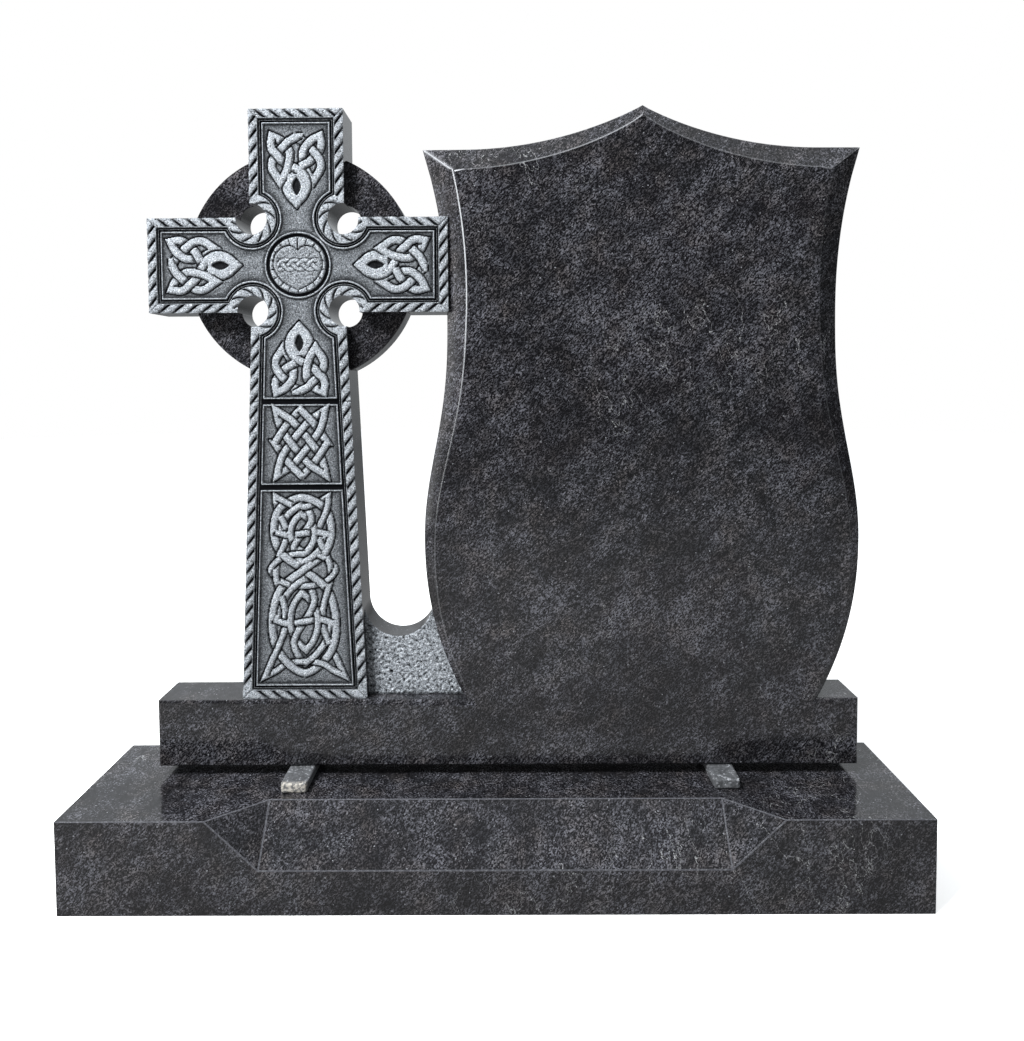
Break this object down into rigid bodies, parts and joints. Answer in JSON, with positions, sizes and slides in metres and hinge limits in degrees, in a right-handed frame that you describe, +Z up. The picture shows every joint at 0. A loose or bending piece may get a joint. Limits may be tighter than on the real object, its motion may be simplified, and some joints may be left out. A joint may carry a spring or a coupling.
{
  "type": "celtic cross headstone",
  "caption": "Upright granite memorial with a carved ring cross beside a shield-shaped tablet on one plinth, set on packing strips over a wide base block.",
  "frame": {"origin": "centre of the base block's underside", "axes": "+Z up, +X along the base's length with the tablet on the +X side, carved face looking along -Y"},
  "size_m": [1.524, 0.305, 1.434],
  "materials": {
    "polished_granite": "polished",
    "carved_granite": "polished with a sandblasted and carved cross",
    "packing_stone": "sawn"
  },
  "bodies": {
    "root": {"base": "polished_granite", "headstone": "carved_granite", "packing_strip_left": "packing_stone", "packing_strip_right": "packing_stone"}
  },
  "joints": []
}
